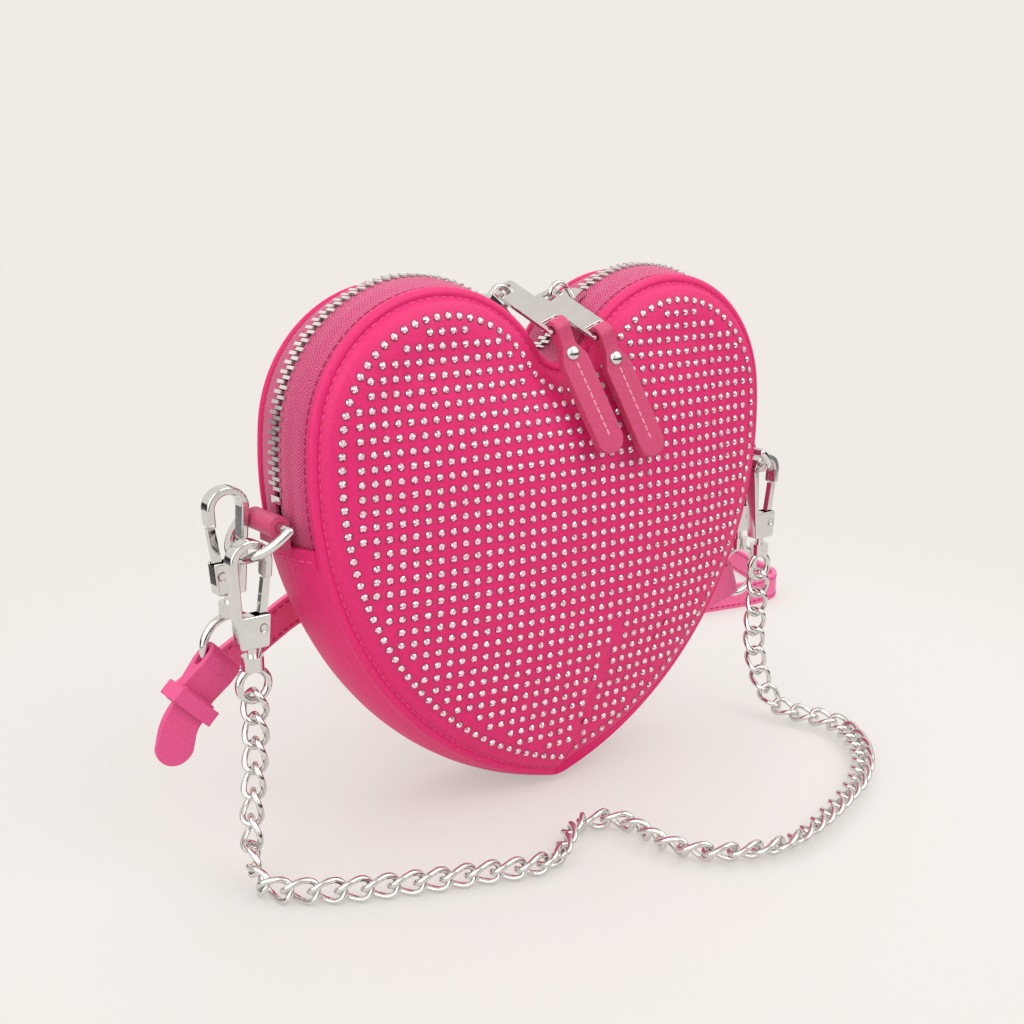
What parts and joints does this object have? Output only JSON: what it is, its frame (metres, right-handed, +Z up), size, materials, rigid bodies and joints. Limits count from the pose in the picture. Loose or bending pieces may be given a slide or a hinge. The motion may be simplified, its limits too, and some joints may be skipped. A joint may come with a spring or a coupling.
{
  "type": "heart shaped purse",
  "caption": "Heart shaped evening purse with domed crystal-set panels, a double zip over the top, a curb chain on snap hooks and a flat shoulder strap on side D-rings.",
  "frame": {"origin": "middle of the small flat under the tip of the heart, where the purse stands", "axes": "+X to the right as seen from the front, the front faces -Y, +Z up"},
  "size_m": [0.3875, 0.2916, 0.1752],
  "materials": {
    "shell": "satin hot pink",
    "lining": "plain weave",
    "tape": "herringbone weave",
    "metal": "polished nickel",
    "trim": "smooth",
    "strap": "smooth, stitched edges"
  },
  "bodies": {
    "purse": {"front_panel": "shell", "back_panel": "shell", "lower_gusset": "shell", "lining": "lining", "zip_tape_front": "tape", "zip_tape_back": "tape", "zip_teeth_front": "metal", "zip_teeth_back": "metal", "zip_stop_left": "metal", "zip_stop_right": "metal", "side_tab_left": "trim", "side_tab_right": "trim", "chain_left_drop": "metal", "chain_floor": "metal", "chain_right_drop": "metal", "strap_left_loop": "strap", "strap_right_loop": "strap", "strap_keeper": "strap", "strap_left_tail": "strap", "strap_left_band": "strap", "strap_floor_band": "strap", "strap_right_band": "strap"},
    "slider_left": {"slider_left": "metal"},
    "pull_left": {"pull_plate_left": "metal"},
    "tab_left": {"pull_tab_left": "trim", "pull_rivet_left": "metal"},
    "ring_left": {"d_ring_left": "metal", "left_chain_hook_body": "metal", "left_chain_hook_pin": "metal", "left_strap_hook_body": "metal", "left_strap_hook_pin": "metal"},
    "slider_right": {"slider_right": "metal"},
    "pull_right": {"pull_plate_right": "metal"},
    "tab_right": {"pull_tab_right": "trim", "pull_rivet_right": "metal"},
    "ring_right": {"d_ring_right": "metal", "right_chain_hook_body": "metal", "right_chain_hook_pin": "metal", "right_strap_hook_body": "metal", "right_strap_hook_pin": "metal"},
    "left_chain_gate": {"left_chain_hook_gate": "metal"},
    "left_chain_swivel": {"left_chain_hook_swivel": "metal"},
    "left_strap_gate": {"left_strap_hook_gate": "metal"},
    "left_strap_swivel": {"left_strap_hook_swivel": "metal"},
    "right_chain_gate": {"right_chain_hook_gate": "metal"},
    "right_chain_swivel": {"right_chain_hook_swivel": "metal"},
    "right_strap_gate": {"right_strap_hook_gate": "metal"},
    "right_strap_swivel": {"right_strap_hook_swivel": "metal"}
  },
  "joints": [
    {"name": "slider_left_run", "type": "hinge", "parent": "purse", "child": "slider_left", "pos_m": [-0.0475, 0, 0.12714], "axis": [0, -1, 0], "range_deg": [0, 115], "deforming": ["zip_teeth_front", "zip_teeth_back"]},
    {"name": "slider_right_run", "type": "hinge", "parent": "purse", "child": "slider_right", "pos_m": [0.0475, 0, 0.12714], "axis": [0, 1, 0], "range_deg": [0, 115], "deforming": ["zip_teeth_front", "zip_teeth_back"]},
    {"name": "pull_left_swing", "type": "hinge", "parent": "slider_left", "child": "pull_left", "pos_m": [-0.00906, 0, 0.16799], "axis": [-0.9222, 0.089, -0.3762], "range_deg": [0, 40]},
    {"name": "tab_left_swing", "type": "hinge", "parent": "pull_left", "child": "tab_left", "pos_m": [-0.00744, -0.02428, 0.15828], "axis": [-0.9222, 0.089, -0.3762], "range_deg": [0, 70]},
    {"name": "pull_right_swing", "type": "hinge", "parent": "slider_right", "child": "pull_right", "pos_m": [0.00885, 0, 0.16507], "axis": [-0.9222, 0.089, -0.3762], "range_deg": [0, 40]},
    {"name": "tab_right_swing", "type": "hinge", "parent": "pull_right", "child": "tab_right", "pos_m": [0.01047, -0.02428, 0.15535], "axis": [-0.9222, 0.089, -0.3762], "range_deg": [0, 70]},
    {"name": "ring_left_swing", "type": "hinge", "parent": "purse", "child": "ring_left", "pos_m": [-0.09876, 0, 0.1042], "axis": [0, 1, 0], "range_deg": [0, 45], "deforming": ["chain_left_drop", "strap_left_loop", "strap_keeper", "strap_left_tail", "strap_left_band"]},
    {"name": "ring_right_swing", "type": "hinge", "parent": "purse", "child": "ring_right", "pos_m": [0.09876, 0, 0.1042], "axis": [0, -1, 0], "range_deg": [0, 60], "deforming": ["chain_right_drop", "strap_right_loop", "strap_right_band"]},
    {"name": "left_chain_gate_swing", "type": "hinge", "parent": "ring_left", "child": "left_chain_gate", "pos_m": [-0.10531, -0.006, 0.0749], "axis": [0, -1, 0], "range_deg": [0, 12], "stiffness_Nm_per_rad": 0.02},
    {"name": "left_chain_swivel_turn", "type": "hinge", "parent": "ring_left", "child": "left_chain_swivel", "pos_m": [-0.10831, -0.006, 0.0571], "axis": [0, 0, 1], "range_deg": [-30, 30], "deforming": ["chain_left_drop"]},
    {"name": "left_strap_gate_swing", "type": "hinge", "parent": "ring_left", "child": "left_strap_gate", "pos_m": [-0.11211, 0.006, 0.0889], "axis": [0, 1, 0], "range_deg": [0, 12], "stiffness_Nm_per_rad": 0.02},
    {"name": "left_strap_swivel_turn", "type": "hinge", "parent": "ring_left", "child": "left_strap_swivel", "pos_m": [-0.10911, 0.006, 0.0667], "axis": [0, 0, 1], "range_deg": [-30, 30], "deforming": ["strap_left_loop"]},
    {"name": "right_chain_gate_swing", "type": "hinge", "parent": "ring_right", "child": "right_chain_gate", "pos_m": [0.11131, -0.006, 0.0749], "axis": [0, -1, 0], "range_deg": [0, 12], "stiffness_Nm_per_rad": 0.02},
    {"name": "right_chain_swivel_turn", "type": "hinge", "parent": "ring_right", "child": "right_chain_swivel", "pos_m": [0.10831, -0.006, 0.0571], "axis": [0, 0, 1], "range_deg": [-30, 30], "deforming": ["chain_right_drop"]},
    {"name": "right_strap_gate_swing", "type": "hinge", "parent": "ring_right", "child": "right_strap_gate", "pos_m": [0.11211, 0.006, 0.0749], "axis": [0, -1, 0], "range_deg": [0, 12], "stiffness_Nm_per_rad": 0.02},
    {"name": "right_strap_swivel_turn", "type": "hinge", "parent": "ring_right", "child": "right_strap_swivel", "pos_m": [0.10911, 0.006, 0.0527], "axis": [0, 0, 1], "range_deg": [-30, 30], "deforming": ["strap_right_loop"]}
  ]
}
